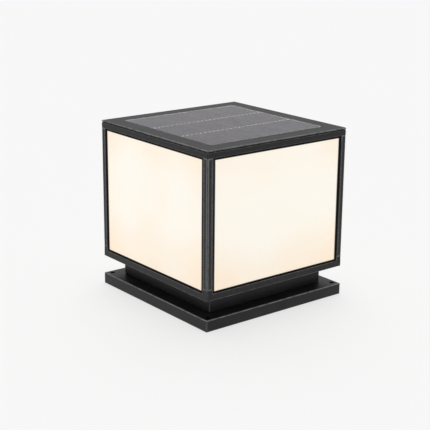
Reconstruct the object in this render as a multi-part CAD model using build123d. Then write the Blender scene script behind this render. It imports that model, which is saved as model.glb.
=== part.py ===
from build123d import *
import math
import os

# Solar pillar lantern: a square base tray, a set-back neck, a cube body with four
# opal panels in an extruded frame, and a lift-off lid that carries the solar panel
# and the light engine. Millimetres, +Z up, origin at the middle of the base's
# underside. The front side faces -Y.

# Overall sizes
WIDTH = 400.0                   # base tray, body and lid are all this square
HEIGHT = 400.0                  # ground to the top of the solar glass
GLASS_PROUD = 0.4               # solar glass above the lid's top
BASE_H = 26.0                   # height of the base tray
BODY_Z = 69.0                   # underside of the body
NECK_INSET = 35.0               # neck's outer face behind the body's face

# Base tray
TRAY_T = 2.0
TRAY_FOLD_R = 1.0               # inside radius of the folded top edge
TRAY_SEAM = 1.2                 # corner seam where the folded sides meet
ANCHOR_INSET = 14.0             # anchor hole centre from the tray's sides
ANCHOR_R = 6.0

# Neck
NECK_T = 1.5
NECK_FLANGE = 20.0
NECK_FOLD_R = 2.4
NECK_CORNER_R = 3.0

# Neck bolts: two to a side, through the neck's flanges
BOLT_SPAN = 90.0
BOLT_FROM_FACE = 11.0           # bolt line behind the neck's outer face
BOLT_R = 2.4
BOLT_CLEAR_R = 2.75
BOLT_HEAD_R = 4.6
BOLT_HEAD_H = 3.0
NUT_ACROSS = 8.0
NUT_T = 4.0
BOLT_PAST = 2.0                 # screw end beyond its nut
THREAD_GAP = 0.05

# Floor plate
FLOOR_T = 1.5
FLOOR_GAP = 0.4                 # floor plate to the rails' inner faces
NOTCH_GAP = 0.6                 # floor plate to the screw ports

# Frame extrusions
WALL = 3.0                      # outer wall of posts and rails
FACE_LIP = 1.4                  # thinner wall in front of the groove
WEB = 1.6                       # inner webs
CORNER_CUT = 2.2                # re-entrant line down each outer corner
CORNER_WALL = 2.4               # metal behind that line
ARRIS_R = 0.6
FOOT_EDGE_R = 1.6               # bottom rail's lower outer edge
FACE_W = 16.0                   # width of a post's outer face
RAIL_FACE = 15.0                # height of the bottom rail's outer face
TOP_FACE = 12.4                 # height of the top rail's outer face
SEAL_SHOW = 4.0                 # strip of seal that shows round a panel
UPSTAND = 10.0                  # bottom rail's end upstand above its face
GROOVE_DEEP = 4.0               # groove behind the face's lip
GROOVE_W = 3.8                  # groove for seal and panel
BACK_LIP = 7.0                  # inner lip beyond the groove's end
RAIL_DEEP = 9.2                 # depth of the rails' hollow box
RAIL_BASE_T = 2.0               # rail's bottom flange
RAIL_BASE_W = 57.0
SEAT_W = 24.0                   # top rail's seat over the post ends
SEAT_T = 2.0
TOP_SHELF = 10.4                # top rail's shelf under the lid's gasket
CHAMBER_ROOF = 2.0

# Screw port of the posts
PORT_INSET = 14.6
PORT_R = 4.2
PORT_BORE_R = 2.1
SCREW_R = 2.05
SCREW_CLEAR_R = 2.6
FOOT_SCREW = 43.0               # countersunk, up from below
SINK_R = 4.6
SINK_DEEP = 2.0
HEAD_SCREW = 30.0               # pan head, down from above
PAN_R = 4.4
PAN_H = 2.6
PAN_EDGE_R = 1.2

# Corner keys
KEY_LEG = 34.0
KEY_NOSE = 1.5

# Panels and seals
PANEL_T = 3.0
PANEL_EDGE_GAP = 0.5            # panel's edge to the groove's end
SEAL_SET = 0.8                  # seal's face behind the frame's face
SEAL_LIP_R = 0.6
FIT = 0.1                       # assembly gap between static pieces

# Lid
LID_T = 2.0
LID_RIM = 3.2
LID_FOLD_R = 0.6                # inside radius of the lid's formed edge
LID_GAP = 2.0                   # shadow gap between lid rim and top rail
GASKET_W = 6.4
TONGUE_W = 30.0
TONGUE_T = 1.2
TONGUE_LEG = 12.0
TONGUE_FOOT = 15.0
TONGUE_GAP = 0.4
TONGUE_LEAD = 1.5               # bent lead-in at the tongue's tip
RIVET_R = 2.0
RIVET_DEEP = 1.2
RIVET_HEAD_R = 3.4
RIVET_HEAD_H = 1.2
RIVET_BACK = 8.0                # rivet line behind the tongue's leg

# Solar panel
GLASS = 324.0
GLASS_T = 3.2
GLASS_EDGE = 0.5
CELL_T = 0.3
SHEET_T = 0.7
SEALANT = 1.0                   # gap filled by sealant round the glass
SEALANT_DROP = 0.3
CELL_ROWS = 3
CELL_COLS = 4
CELL_FIELD = 318.0
CELL_GAP = 1.8
ROW_GAP = 4.4                   # gap between cell rows
CELL_NICK = 3.0
LINKS = 26                      # ribbon links across each row gap
LINK_W = 3.2

# Light engine
ENGINE_X = 210.0
ENGINE_Y = 124.0
ENGINE_DEEP = 40.0
ENGINE_WALL = 2.5
ENGINE_R = 8.0
ENGINE_EDGE_R = 2.0
BACK_T = 3.0
EAR_R = 8.0
EAR_Y = 40.0
BOSS_R = 4.0
BOSS_INSET = 10.0
SEAL_T = 1.0
SEAL_BACK_OFF = 0.2             # seal's edge inside the shells' edge
STUD_R = 2.0
STUD_CLEAR = 0.25
STUD_HEAD_R = 3.4
STUD_HEAD_H = 1.0
STUD_OUT = 9.0                  # stud centre beyond the housing's end
STUD_NUT_ACROSS = 7.0
STUD_NUT_T = 3.2
GROMMET_R = 6.0
GROMMET_LIP = 1.5
GROMMET_LIP_T = 1.0
HOUSING_SCREW_R = 1.55
HOUSING_HEAD_R = 3.0
HOUSING_HEAD_H = 1.8
HOUSING_SINK = 2.0              # screw heads' pocket in the floor
BLIND = 0.5                     # metal left over a blind hole
CELL_R = 16.1
CELL_LEN = 70.0
CELL_PITCH = 33.0
CELL_COUNT = 4
CELL_EDGE = 1.0
CELL_LIFT = 2.0                 # cell's underside above the housing's floor
TAB_T = 0.3
TAB_W = 8.0
TAB_PAST = 7.0                  # tab's end beyond the outer cell's axis
CRADLE_H = 10.0
CRADLE_GAP = 0.2
CRADLE_SHORT = 3.0              # cradle's end inside the cells' end
BOARD_T = 1.6
BOARD_X = 30.0
BOARD_Y = 78.0
BOARD_DROP = 6.0
BOARD_GAP = 5.5                 # board's edge to the housing's end wall
BOARD_R = 2.0
PIN_R = 1.5                     # staked pins that hold the board
PIN_HEAD_R = 2.5
PIN_HEAD_H = 0.8
PIN_INSET = 5.0
STANDOFF_R = 3.0
PAD_INSET = 8.0                 # lead pads from the board's inner edge
# Round components: radius, height, and place from the board's middle
ROUND_PARTS = ((7.0, 9.0, -3.0, 19.0), (4.0, 12.0, 8.5, 24.0), (4.0, 12.0, 8.5, 14.0))
# Flat components: length, width, height, and place from the board's middle
FLAT_PARTS = ((12.0, 10.0, 3.0, 6.0, -2.0), (10.0, 10.0, 1.5, 5.0, -14.0), (14.0, 6.0, 7.0, -3.0, -24.0))
LED_R = 48.0
LED_GAP = 0.6                   # LED board to the cover's wall
LED_BOARD_T = 1.6
CHIP_T = 0.7
DOME_R = 57.0
DOME_DEEP = 18.0
DOME_T = 2.0
DOME_EDGE_R = 9.0
CHIP_X = 3.5
CHIP_Y = 2.8
CHIP_RINGS = ((20.0, 8), (38.0, 16))  # each ring's radius and its number of LEDs
DOME_SCREW_TURNS = (90, 210, 330)
DOME_SCREW_R = 1.25
DOME_HOLE_R = 1.6
DOME_HEAD_R = 2.0
DOME_HEAD_H = 1.4
LEAD_R = 0.9
LEAD_GAP = 0.05
LED_LEAD_OUT = 4.3              # first LED lead beyond the battery's lead
LED_LEAD_STEP = 4.0             # distance between the two LED leads
LED_LEAD_RISE = 14.0
LED_PAD_Y = 4.0                 # LED pads from the board's middle
LEAD_PAIR = 4.8                 # distance between the panel's two leads
LEAD_OFF = 0.3                  # lead's side to the plate that it runs along
BATTERY_LEAD_OUT = 2.4
LEAD_ON_TAB = 5.0               # lead's weld beyond the last cell's axis
SWITCH_TAG = 2.0                # switch terminals from its axis
PANEL_BEND = 3.0
BATTERY_BEND = 1.4
LED_BEND = 4.0

# Push switch
SWITCH_INSET = 14.0             # switch's axis from the housing's end
SWITCH_Y = -26.0
BUSH_R = 6.0
BUTTON_R = 4.4
COLLAR_R = 5.0
COLLAR_H = 1.5
BUTTON_GAP = 0.05
BUTTON_OUT = 2.5
BUTTON_TRAVEL = 1.5
BUTTON_EDGE_R = 0.8
BUTTON_SPACE = 0.5              # room above the pressed button
BUTTON_TOP = 2.0                # button's top above the housing's floor
BUSH_GAP = 0.1
BUSH_OVER = 4.0                 # bush above the housing's floor
BEZEL_R = 8.6
BEZEL_T = 1.6
WASHER_R = 8.2
WASHER_T = 0.8
SWITCH_R = 7.4
SWITCH_TOP = 17.0
SWITCH_NUT_ACROSS = 16.0
SWITCH_NUT_T = 3.0

OVER = 1.0                      # cutters run this far past a face

# Worked-out places
HALF = WIDTH / 2
OPEN_INSET = FACE_W + SEAL_SHOW
RAIL_TOP = BODY_Z + RAIL_FACE
OPEN_BOTTOM = RAIL_TOP + SEAL_SHOW
POST_FOOT = RAIL_TOP + UPSTAND
GLASS_TOP = HEIGHT
PANEL_STACK = GLASS_T + CELL_T + SHEET_T
LID_TOP = HEIGHT - GLASS_PROUD
RECESS_Z = GLASS_TOP - PANEL_STACK
LID_UNDER = LID_TOP - LID_T
RIM_Z = LID_TOP - LID_RIM
FRAME_TOP = RIM_Z - LID_GAP
POST_HEAD = FRAME_TOP - TOP_FACE
OPEN_TOP = POST_HEAD - SEAL_SHOW
GROOVE_OUT = FACE_W - GROOVE_DEEP
GROOVE_IN = FACE_LIP + GROOVE_W
LIP_IN = GROOVE_IN + WEB
CHAMBER_IN = RAIL_DEEP - WEB
PANEL_FRONT = GROOVE_IN - PANEL_T
BOTTOM_GROOVE = RAIL_TOP - GROOVE_DEEP
TOP_GROOVE = POST_HEAD + GROOVE_DEEP
CHAMBER_TOP = BOTTOM_GROOVE - WEB
ENGINE_TOP = RECESS_Z - LID_T
RIM_JOINT = ENGINE_TOP - BACK_T - SEAL_T
ENGINE_FLOOR = ENGINE_TOP - BACK_T - ENGINE_DEEP
FLOOR_IN = ENGINE_FLOOR + ENGINE_WALL
CELLS_X0 = -ENGINE_X / 2 + ENGINE_WALL + CELL_LIFT + CELL_R
CELL_AXIS_Z = FLOOR_IN + CELL_LIFT + CELL_R
BOARD_TOP = ENGINE_TOP - BACK_T - BOARD_DROP
BOARD_UNDER = BOARD_TOP - BOARD_T
BOARD_CENTRE_X = ENGINE_X / 2 - ENGINE_WALL - BOARD_GAP - BOARD_X / 2
BOARD_PADS_X = BOARD_CENTRE_X - BOARD_X / 2 + PAD_INSET
BATTERY_LEAD_Y = CELL_LEN / 2 + TAB_T + BATTERY_LEAD_OUT
SWITCH_AT = (ENGINE_X / 2 - SWITCH_INSET, SWITCH_Y)
LED_WALL_R = LED_R + LED_GAP + DOME_T
ANCHOR = HALF - ANCHOR_INSET
BOLT_LINE = HALF - NECK_INSET - BOLT_FROM_FACE
SIDES = ["front", "right", "back", "left"]
CORNERS = ["front_left", "front_right", "back_right", "back_left"]


def turned(shape, quarter):
    """The shape turned a number of quarter turns about the lantern's middle."""
    return Rot(0, 0, 90 * quarter) * shape


def group(shapes):
    """Separate solids kept together as one piece's node."""
    return Compound(children=[solid for shape in shapes for solid in shape.solids()])


def outline(points):
    """A flat face in XY from its corner points."""
    return make_face(Polyline(*points, close=True))


def box_face(x0, y0, x1, y1):
    """A flat rectangle between two corners."""
    return outline([(x0, y0), (x1, y0), (x1, y1), (x0, y1)])


def at_points(face, places):
    """The vertices of a flat face that lie at the given XY places."""
    found = []
    for vertex in face.vertices():
        for x, y in places:
            if abs(vertex.X - x) < 1e-6 and abs(vertex.Y - y) < 1e-6:
                found.append(vertex)
    return found


def plate(x, y, low, high, at=(0, 0)):
    """A flat plate between two heights."""
    return Pos(at[0], at[1], low) * extrude(Rectangle(x, y), high - low)


def disc(radius, low, high, at=(0, 0)):
    """A round bar between two heights."""
    return Pos(at[0], at[1], low) * extrude(Circle(radius), high - low)


def hexagon(across, low, high, at=(0, 0)):
    """A hexagon bar between two heights, by its width across flats."""
    face = RegularPolygon(across / math.sqrt(3), 6)
    return Pos(at[0], at[1], low) * extrude(face, high - low)


def cone(low_r, high_r, low, high, at):
    """A cone between two heights."""
    return Pos(at[0], at[1], (low + high) / 2) * Cone(low_r, high_r, high - low)


def frame_wedge():
    """The front side's quarter of the plan, less the square line down each outer corner."""
    near = HALF - CORNER_CUT
    out = HALF + OVER
    return extrude(outline([(-near, -out), (near, -out), (near, -near), (0, 0), (-near, -near)]), HEIGHT)


def port_places():
    """The screw ports of the two front posts."""
    return [(-HALF + PORT_INSET, -HALF + PORT_INSET), (HALF - PORT_INSET, -HALF + PORT_INSET)]


def post_face():
    """The post's section, its outer corner at the origin, its legs along +X and +Y."""
    half = [
        (CORNER_CUT, CORNER_CUT),
        (CORNER_CUT, 0),
        (FACE_W, 0),
        (FACE_W, FACE_LIP),
        (GROOVE_OUT, FACE_LIP),
        (GROOVE_OUT, GROOVE_IN),
        (GROOVE_OUT + BACK_LIP, GROOVE_IN),
        (GROOVE_OUT + BACK_LIP, LIP_IN),
        (GROOVE_OUT, LIP_IN),
        (GROOVE_OUT, GROOVE_OUT),
    ]
    other = [(y, x) for x, y in reversed(half[1:-1])]
    face = outline(half + other)
    rounded = [(CORNER_CUT, 0), (0, CORNER_CUT), (FACE_W, 0), (0, FACE_W)]
    face = fillet(at_points(face, rounded), ARRIS_R)
    back = GROOVE_OUT - WEB
    step = CORNER_CUT + CORNER_WALL
    chamber = outline([(step, WALL), (back, WALL), (back, back), (WALL, back), (WALL, step), (step, step)])
    port = Pos(PORT_INSET, PORT_INSET) * Circle(PORT_R)
    bore = Pos(PORT_INSET, PORT_INSET) * Circle(PORT_BORE_R)
    return face - chamber + port - bore


def corner_posts():
    """Four identical extruded posts between the bottom rails' upstands and the top rails."""
    post = Pos(-HALF, -HALF, POST_FOOT) * extrude(post_face(), POST_HEAD - POST_FOOT)
    return {"corner_post_" + CORNERS[i]: turned(post, i) for i in range(4)}


def rail_bar(points, rounded, radius, chamber):
    """A rail's section, given by inset and height, run along the front side."""
    face = outline(points)
    face = fillet(at_points(face, rounded), radius) - outline(chamber)
    bar = extrude(Plane.YZ * face, HALF, both=True)
    return Pos(0, -HALF, 0) * bar


def arris_cut(z):
    """Cutter that rounds a rail's upper face edge between the posts."""
    bit = box_face(-OVER, z - ARRIS_R, ARRIS_R, z + OVER) - Pos(ARRIS_R, z - ARRIS_R) * Circle(ARRIS_R)
    return Pos(0, -HALF, 0) * extrude(Plane.YZ * bit, HALF - FACE_W, both=True)


def bottom_rails():
    """Mitred bottom rails, each with an upstand of the post's own section at both ends."""
    points = [
        (0, BODY_Z),
        (RAIL_BASE_W, BODY_Z),
        (RAIL_BASE_W, BODY_Z + RAIL_BASE_T),
        (RAIL_DEEP, BODY_Z + RAIL_BASE_T),
        (RAIL_DEEP, BOTTOM_GROOVE),
        (LIP_IN, BOTTOM_GROOVE),
        (LIP_IN, RAIL_TOP + BACK_LIP - GROOVE_DEEP),
        (GROOVE_IN, RAIL_TOP + BACK_LIP - GROOVE_DEEP),
        (GROOVE_IN, BOTTOM_GROOVE),
        (FACE_LIP, BOTTOM_GROOVE),
        (FACE_LIP, RAIL_TOP),
        (0, RAIL_TOP),
    ]
    low = BODY_Z + RAIL_BASE_T
    chamber = [(WALL, low), (CHAMBER_IN, low), (CHAMBER_IN, CHAMBER_TOP), (WALL, CHAMBER_TOP)]
    rail = rail_bar(points, [(0, BODY_Z)], FOOT_EDGE_R, chamber) & frame_wedge()
    mitred = outline([(0, 0), (HALF, 0), (HALF, HALF)])
    half = post_face() & mitred
    core = half & box_face(0, FACE_LIP, HALF, HALF)
    tube = Pos(PORT_INSET, PORT_INSET) * Circle(PORT_R) & mitred
    stub = Pos(0, 0, RAIL_TOP) * extrude(half, UPSTAND)
    stub += Pos(0, 0, CHAMBER_TOP) * extrude(core, POST_FOOT - CHAMBER_TOP)
    stub += Pos(0, 0, low) * extrude(tube, CHAMBER_TOP - low)
    stub = Pos(-HALF, -HALF, 0) * stub
    rail += stub
    rail += mirror(stub, Plane.YZ)
    rail -= arris_cut(RAIL_TOP)
    for place in port_places():
        rail -= disc(SCREW_CLEAR_R, BODY_Z, POST_FOOT, place)
        rail -= cone(SINK_R + FIT, SCREW_CLEAR_R, BODY_Z, BODY_Z + SINK_DEEP + FIT, place)
    for x in (-BOLT_SPAN, BOLT_SPAN):
        rail -= disc(BOLT_CLEAR_R, BODY_Z, low, (x, -BOLT_LINE))
    return {"bottom_rail_" + SIDES[i]: turned(rail, i) for i in range(4)}


def top_rails():
    """Mitred top rails: a seat over the post ends, and a shelf under the lid's gasket."""
    points = [
        (0, POST_HEAD),
        (FACE_LIP, POST_HEAD),
        (FACE_LIP, TOP_GROOVE),
        (GROOVE_IN, TOP_GROOVE),
        (GROOVE_IN, POST_HEAD - BACK_LIP + GROOVE_DEEP),
        (LIP_IN, POST_HEAD - BACK_LIP + GROOVE_DEEP),
        (LIP_IN, POST_HEAD),
        (SEAT_W, POST_HEAD),
        (SEAT_W, POST_HEAD + SEAT_T),
        (RAIL_DEEP, POST_HEAD + SEAT_T),
        (RAIL_DEEP, FRAME_TOP - CHAMBER_ROOF),
        (TOP_SHELF, FRAME_TOP - CHAMBER_ROOF),
        (TOP_SHELF, FRAME_TOP),
        (0, FRAME_TOP),
    ]
    low = TOP_GROOVE + WEB
    high = FRAME_TOP - CHAMBER_ROOF
    chamber = [(WALL, low), (CHAMBER_IN, low), (CHAMBER_IN, high), (WALL, high)]
    rail = rail_bar(points, [(0, POST_HEAD), (0, FRAME_TOP)], ARRIS_R, chamber)
    rail = rail & frame_wedge()
    end = GROOVE_OUT + BACK_LIP + FIT
    for side in (-1, 1):
        rail -= plate(2 * end, 2 * end, OPEN_TOP, POST_HEAD, (side * HALF, -HALF))
    for place in port_places():
        rail -= disc(SCREW_CLEAR_R, POST_HEAD, POST_HEAD + SEAT_T, place)
    return {"top_rail_" + SIDES[i]: turned(rail, i) for i in range(4)}


def corner_keys(low, high):
    """L-shaped keys inside the mitred rails' chambers, one to a corner."""
    near = WALL + FIT
    far = CHAMBER_IN - FIT
    points = [
        (near + KEY_NOSE, near),
        (KEY_LEG, near),
        (KEY_LEG, far),
        (far, far),
        (far, KEY_LEG),
        (near, KEY_LEG),
        (near, near + KEY_NOSE),
    ]
    key = Pos(-HALF, -HALF, low + FIT) * extrude(outline(points), high - low - 2 * FIT)
    return group([turned(key, i) for i in range(4)])


def post_screws():
    """Countersunk screws up through the bottom rails, and pan-head screws down from the top seat."""
    place = port_places()[0]
    low = BODY_Z + FIT
    foot = disc(SCREW_R, low + SINK_DEEP, BODY_Z + FOOT_SCREW, place)
    foot += cone(SINK_R, SCREW_R, low, low + SINK_DEEP, place)
    seat = POST_HEAD + SEAT_T
    head = disc(SCREW_R, seat - HEAD_SCREW, seat, place)
    cap = disc(PAN_R, seat, seat + PAN_H, place)
    head += fillet(cap.edges().sort_by(Axis.Z)[-1], PAN_EDGE_R)
    return {
        "post_foot_screws": group([turned(foot, i) for i in range(4)]),
        "post_head_screws": group([turned(head, i) for i in range(4)]),
    }


def bolt_places():
    """All eight bolt centres, two to a side."""
    places = []
    for x in (-BOLT_SPAN, BOLT_SPAN):
        places += [(x, -BOLT_LINE), (x, BOLT_LINE), (-BOLT_LINE, x), (BOLT_LINE, x)]
    return places


def base_tray():
    """Folded sheet tray, open underneath, with four anchor holes and a seam down each corner."""
    tray = plate(WIDTH, WIDTH, 0, BASE_H)
    tray = fillet(tray.edges().filter_by(Plane.XY).group_by(Axis.Z)[-1], TRAY_FOLD_R + TRAY_T)
    inner = WIDTH - 2 * TRAY_T
    hollow = plate(inner, inner, 0, BASE_H - TRAY_T)
    tray -= fillet(hollow.edges().filter_by(Plane.XY).group_by(Axis.Z)[-1], TRAY_FOLD_R)
    seam = 2 * TRAY_SEAM
    for sx in (-1, 1):
        for sy in (-1, 1):
            tray -= plate(seam, seam, 0, BASE_H - TRAY_T, (sx * HALF, sy * HALF))
            tray -= disc(ANCHOR_R, 0, BASE_H, (sx * ANCHOR, sy * ANCHOR))
    for place in bolt_places():
        tray -= disc(BOLT_CLEAR_R, 0, BASE_H, place)
    return tray


def neck():
    """Square folded tube with inward flanges top and bottom."""
    outer = WIDTH - 2 * NECK_INSET
    tube = plate(outer, outer, BASE_H, BODY_Z)
    tube = fillet(tube.edges().filter_by(Axis.Z), NECK_CORNER_R)
    tube = fillet(tube.edges().filter_by(Plane.XY), NECK_FOLD_R)
    inner = outer - 2 * NECK_T
    tube -= plate(inner, inner, BASE_H + NECK_T, BODY_Z - NECK_T)
    clear = outer - 2 * NECK_FLANGE
    tube -= plate(clear, clear, BASE_H, BODY_Z)
    for place in bolt_places():
        tube -= disc(BOLT_CLEAR_R, BASE_H, BODY_Z, place)
    return tube


def neck_fasteners():
    """Bolts up through the tray and down through the floor, with their nuts on the neck's flanges."""
    bolts = []
    nuts = []
    floor_top = BODY_Z + RAIL_BASE_T + FLOOR_T
    tray_under = BASE_H - TRAY_T
    low_nut = BASE_H + NECK_T
    high_nut = BODY_Z - NECK_T - NUT_T
    for place in bolt_places():
        low_bolt = disc(BOLT_R, tray_under, low_nut + NUT_T + BOLT_PAST, place)
        low_bolt += disc(BOLT_HEAD_R, tray_under - BOLT_HEAD_H, tray_under, place)
        high_bolt = disc(BOLT_R, high_nut - BOLT_PAST, floor_top, place)
        high_bolt += disc(BOLT_HEAD_R, floor_top, floor_top + BOLT_HEAD_H, place)
        bolts += [low_bolt, high_bolt]
        for z in (low_nut, high_nut):
            nut = hexagon(NUT_ACROSS, z, z + NUT_T, place)
            nuts.append(nut - disc(BOLT_R + THREAD_GAP, z, z + NUT_T, place))
    return {"neck_bolts": group(bolts), "neck_nuts": group(nuts)}


def floor_plate():
    """White plate on the bottom rails' flanges, notched round the screw ports."""
    side = WIDTH - 2 * (RAIL_DEEP + FLOOR_GAP)
    low = BODY_Z + RAIL_BASE_T
    sheet = plate(side, side, low, low + FLOOR_T)
    notch = 2 * (PORT_INSET + PORT_R + NOTCH_GAP)
    for sx in (-1, 1):
        for sy in (-1, 1):
            sheet -= plate(notch, notch, low, low + FLOOR_T, (sx * HALF, sy * HALF))
    for place in bolt_places():
        sheet -= disc(BOLT_CLEAR_R, low, low + FLOOR_T, place)
    return sheet


def upright(width, low, high, inset_near, inset_far):
    """A flat slab standing on the front side, between two insets from the face."""
    depth = inset_far - inset_near
    slab = Box(width, depth, high - low, align=(Align.CENTER, Align.MIN, Align.MIN))
    return Pos(0, -HALF + inset_near, low) * slab


def diffusers():
    """Opal panels held in the frame's grooves."""
    width = WIDTH - 2 * (GROOVE_OUT + PANEL_EDGE_GAP)
    low = BOTTOM_GROOVE + PANEL_EDGE_GAP
    high = TOP_GROOVE - PANEL_EDGE_GAP
    panel = upright(width, low, high, PANEL_FRONT, PANEL_FRONT + PANEL_T)
    return {"diffuser_" + SIDES[i]: turned(panel, i) for i in range(4)}


def glazing_seals():
    """One-piece rubber seals: a stem in the groove and a strip that shows round the panel."""
    width = WIDTH - 2 * (GROOVE_OUT + PANEL_EDGE_GAP)
    low = BOTTOM_GROOVE + PANEL_EDGE_GAP
    high = TOP_GROOVE - PANEL_EDGE_GAP
    stem = upright(width, low, high, FACE_LIP, PANEL_FRONT)
    strip = upright(WIDTH - 2 * FACE_W, RAIL_TOP, POST_HEAD, SEAL_SET, PANEL_FRONT)
    hole = upright(WIDTH - 2 * OPEN_INSET, OPEN_BOTTOM, OPEN_TOP, 0, LIP_IN)
    seal = stem + strip - hole
    face = seal.edges().filter_by(Plane.XZ).group_by(Axis.Y)[0]
    inner = SEAL_SHOW / 2
    inside = [edge for edge in face if abs(edge.center().X) < HALF - FACE_W - inner
              and RAIL_TOP + inner < edge.center().Z < POST_HEAD - inner]
    seal = fillet(inside, SEAL_LIP_R)
    return {"glazing_seal_" + SIDES[i]: turned(seal, i) for i in range(4)}


def lid_cover():
    """Sheet lid with a shallow rim and a pressed recess for the solar panel."""
    lid = plate(WIDTH, WIDTH, RIM_Z, LID_TOP)
    edge_r = LID_FOLD_R + LID_T
    lid = fillet(lid.edges().filter_by(Axis.Z), edge_r)
    lid = fillet(lid.edges().filter_by(Plane.XY).group_by(Axis.Z)[-1], edge_r)
    inner = WIDTH - 2 * LID_T
    hollow = plate(inner, inner, RIM_Z, LID_UNDER)
    hollow = fillet(hollow.edges().filter_by(Axis.Z), LID_FOLD_R)
    lid -= fillet(hollow.edges().filter_by(Plane.XY).group_by(Axis.Z)[-1], LID_FOLD_R)
    recess = GLASS + 2 * SEALANT
    tub = recess + 2 * LID_T
    lid += plate(tub, tub, ENGINE_TOP, LID_UNDER)
    lid -= plate(recess, recess, RECESS_Z, LID_TOP)
    lid -= disc(GROMMET_R + THREAD_GAP, ENGINE_TOP, RECESS_Z)
    for place in stud_places():
        lid -= disc(STUD_R + THREAD_GAP, ENGINE_TOP, RECESS_Z, place)
        lid -= disc(STUD_HEAD_R, RECESS_Z - STUD_HEAD_H, RECESS_Z, place)
    for place in rivet_places():
        lid -= disc(RIVET_R, LID_UNDER, LID_UNDER + RIVET_DEEP, place)
    return lid


def stud_places():
    """The four studs that hang the light engine, at its ears."""
    x = ENGINE_X / 2 + STUD_OUT
    return [(sx * x, sy * EAR_Y) for sx in (-1, 1) for sy in (-1, 1)]


def rivet_places():
    """Two rivets to a tongue, on all four sides."""
    line = HALF - TOP_SHELF - TONGUE_GAP - TONGUE_T - RIVET_BACK
    places = []
    for x in (-TONGUE_W / 4, TONGUE_W / 4):
        places += [(x, -line), (x, line), (-line, x), (line, x)]
    return places


def lid_gasket():
    """Four mitred strips of sponge between the lid and the top rails' shelf."""
    strip = upright(WIDTH, FRAME_TOP, LID_UNDER, WALL, WALL + GASKET_W) & frame_wedge()
    return group([turned(strip, i) for i in range(4)])


def lid_tongues():
    """Folded tongues under the lid that drop just inside the top rails, and their rivets."""
    near = TOP_SHELF + TONGUE_GAP
    tip = LID_UNDER - TONGUE_LEG
    points = [
        (near, tip + TONGUE_LEAD),
        (near + TONGUE_LEAD, tip),
        (near + TONGUE_LEAD + TONGUE_T, tip),
        (near + TONGUE_T, tip + TONGUE_LEAD),
        (near + TONGUE_T, LID_UNDER - TONGUE_T),
        (near + TONGUE_FOOT, LID_UNDER - TONGUE_T),
        (near + TONGUE_FOOT, LID_UNDER),
        (near, LID_UNDER),
    ]
    face = fillet(at_points(outline(points), [(near, LID_UNDER)]), TONGUE_T)
    tongue = Pos(0, -HALF, 0) * extrude(Plane.YZ * face, TONGUE_W / 2, both=True)
    tongues = [turned(tongue, i) for i in range(4)]
    rivets = []
    under = LID_UNDER - TONGUE_T
    for place in rivet_places():
        bar = disc(RIVET_R - THREAD_GAP, under, LID_UNDER + RIVET_DEEP, place)
        rivets.append(bar + disc(RIVET_HEAD_R, under - RIVET_HEAD_H, under, place))
        tongues = [tongue - disc(RIVET_R, under, LID_UNDER, place) for tongue in tongues]
    return {"lid_tongues": group(tongues), "tongue_rivets": group(rivets)}


def solar_glass():
    """Toughened cover glass with a ground edge."""
    glass = plate(GLASS, GLASS, GLASS_TOP - GLASS_T, GLASS_TOP)
    return chamfer(glass.edges().filter_by(Plane.XY).group_by(Axis.Z)[-1], GLASS_EDGE)


def cell_centres(count):
    """Evenly spaced centres across the cell field."""
    pitch = CELL_FIELD / count
    return [(i - (count - 1) / 2) * pitch for i in range(count)]


def solar_cells():
    """Cut cells in rows along X, each with nicked corners, laid just under the glass."""
    x = CELL_FIELD / CELL_COLS - CELL_GAP
    y = CELL_FIELD / CELL_ROWS - ROW_GAP
    high = GLASS_TOP - GLASS_T
    face = Rectangle(x, y)
    face = chamfer(face.vertices(), CELL_NICK)
    cell = extrude(face, CELL_T)
    cells = []
    for cy in cell_centres(CELL_ROWS):
        for cx in cell_centres(CELL_COLS):
            cells.append(Pos(cx, cy, high - CELL_T) * cell)
    return group(cells)


def cell_links():
    """Tinned ribbons that show as dots where they cross the gaps between cell rows."""
    pitch = CELL_FIELD / LINKS
    edges = [CELL_FIELD * (i / CELL_ROWS - 0.5) for i in range(1, CELL_ROWS)]
    high = GLASS_TOP - GLASS_T
    links = []
    for y in edges:
        for i in range(LINKS):
            x = (i + 0.5 - LINKS / 2) * pitch
            links.append(plate(LINK_W, ROW_GAP, high - CELL_T, high, (x, y)))
    return group(links)


def solar_sealant():
    """Bead of sealant between the glass and the lid's recess."""
    outer = GLASS + 2 * SEALANT
    bead = plate(outer, outer, RECESS_Z, LID_TOP - SEALANT_DROP)
    return bead - plate(GLASS, GLASS, RECESS_Z, LID_TOP)


def lead_grommet():
    """Rubber bush where the panel's leads pass the lid."""
    low = ENGINE_TOP - GROMMET_LIP_T
    bush = disc(GROMMET_R, ENGINE_TOP, RECESS_Z) + disc(GROMMET_R + GROMMET_LIP, low, ENGINE_TOP)
    for side in (-1, 1):
        bush -= disc(LEAD_R + LEAD_GAP, low, RECESS_Z, (0, side * LEAD_PAIR / 2))
    return bush


def lid_studs():
    """Clinch studs in the lid's recess, with the nuts that hold the light engine's ears."""
    studs = []
    nuts = []
    high = ENGINE_TOP - BACK_T
    low = high - STUD_NUT_T
    for place in stud_places():
        stud = disc(STUD_R, low - BOLT_PAST, RECESS_Z, place)
        studs.append(stud + disc(STUD_HEAD_R - THREAD_GAP, RECESS_Z - STUD_HEAD_H, RECESS_Z, place))
        nut = hexagon(STUD_NUT_ACROSS, low, high, place)
        nuts.append(nut - disc(STUD_R + THREAD_GAP, low, high, place))
    return {"lid_studs": group(studs), "stud_nuts": group(nuts)}


def boss_places():
    """The four screw bosses inside the light engine's corners."""
    x = ENGINE_X / 2 - BOSS_INSET
    y = ENGINE_Y / 2 - BOSS_INSET
    return [(sx * x, sy * y) for sx in (-1, 1) for sy in (-1, 1)]


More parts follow.
